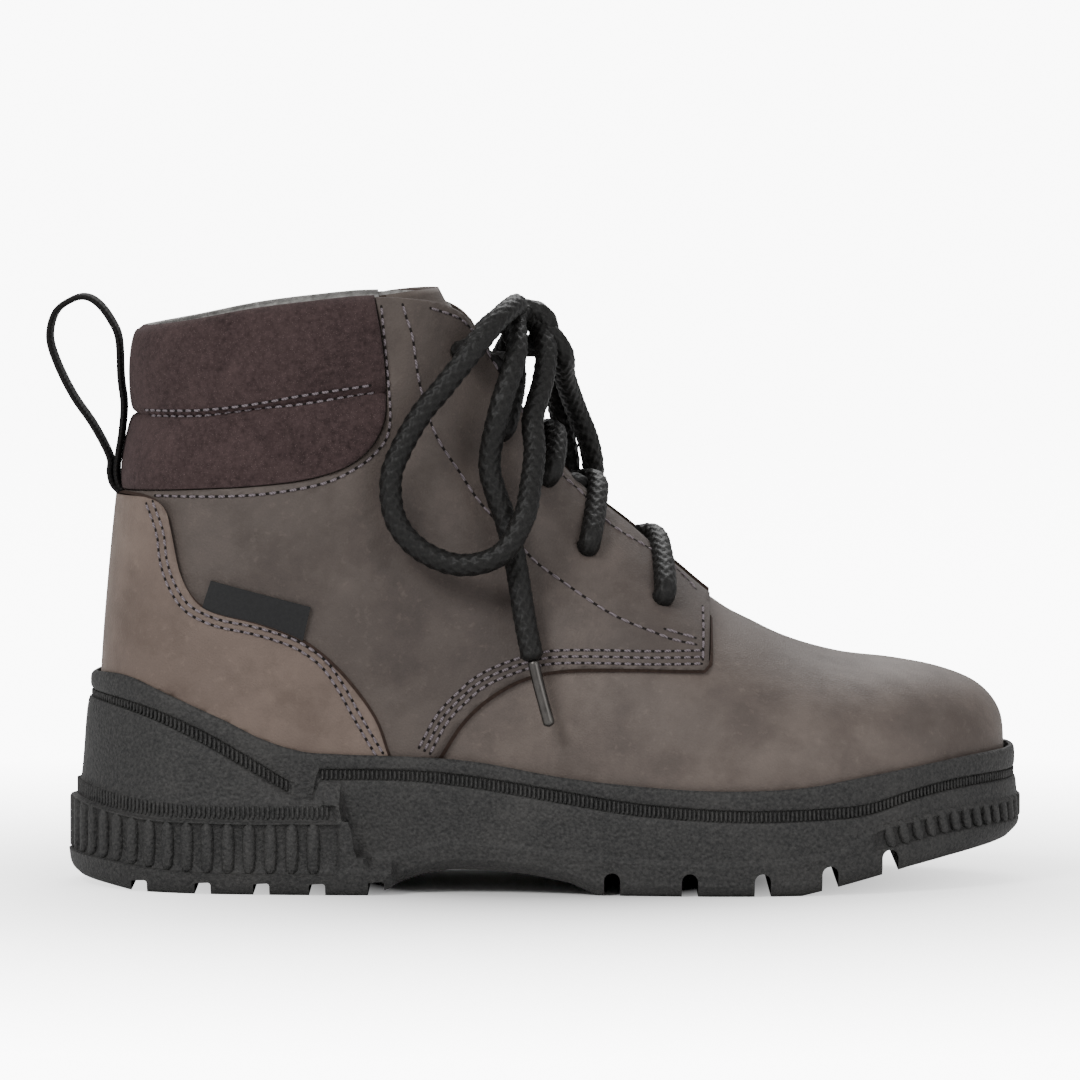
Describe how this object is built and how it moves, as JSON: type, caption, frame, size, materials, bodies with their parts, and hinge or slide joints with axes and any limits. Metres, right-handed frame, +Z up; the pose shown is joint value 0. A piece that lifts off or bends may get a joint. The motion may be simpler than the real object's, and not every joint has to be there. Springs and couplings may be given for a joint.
{
  "type": "side-zip lace-up boot",
  "caption": "Child's ankle boot for the right foot: leather upper with overlays, padded collar, laces, heel pull loop, inner side zip and a lugged cup sole.",
  "frame": {"origin": "on the floor, at the middle of the heel's flat tread", "axes": "+X towards the toe, +Y towards the inner side of the foot, +Z up"},
  "size_m": [0.2207, 0.0874, 0.1332],
  "materials": {
    "black_foam_rubber": "matt, fine foam grain",
    "grey_brown_leather": "nubuck with a waxy pull-up",
    "dark_brown_suede": "napped suede over foam",
    "grey_wool_lining": "brushed wool blend",
    "grey_felt": "felt",
    "black_webbing": "woven tape",
    "dark_metal": "dark nickel",
    "black_braided_lace": "round braided cord"
  },
  "bodies": {
    "boot": {"sole": "black_foam_rubber", "insole": "grey_felt", "upper": "grey_brown_leather", "tongue": "grey_wool_lining", "quarter_outer": "grey_brown_leather", "quarter_inner": "grey_brown_leather", "heel_counter": "grey_brown_leather", "collar": "dark_brown_suede", "side_tab": "black_foam_rubber", "zip_tape": "black_webbing", "zip_slider": "dark_metal", "pull_loop": "black_webbing", "lace_knot": "black_braided_lace", "lace_crossings": "black_braided_lace", "lace_loop_outer": "black_braided_lace", "lace_loop_inner": "black_braided_lace", "lace_end_outer": "black_braided_lace", "lace_end_inner": "black_braided_lace", "aglet_outer": "dark_metal", "aglet_inner": "dark_metal"},
    "zip_pull": {"zip_pull": "dark_metal"}
  },
  "joints": [
    {"name": "zip_pull_hinge", "type": "hinge", "parent": "boot", "child": "zip_pull", "pos_m": [0.04475, 0.02429, 0.12073], "axis": [0.8638, -0.4942, -0.0986], "range_deg": [0, 150]}
  ]
}
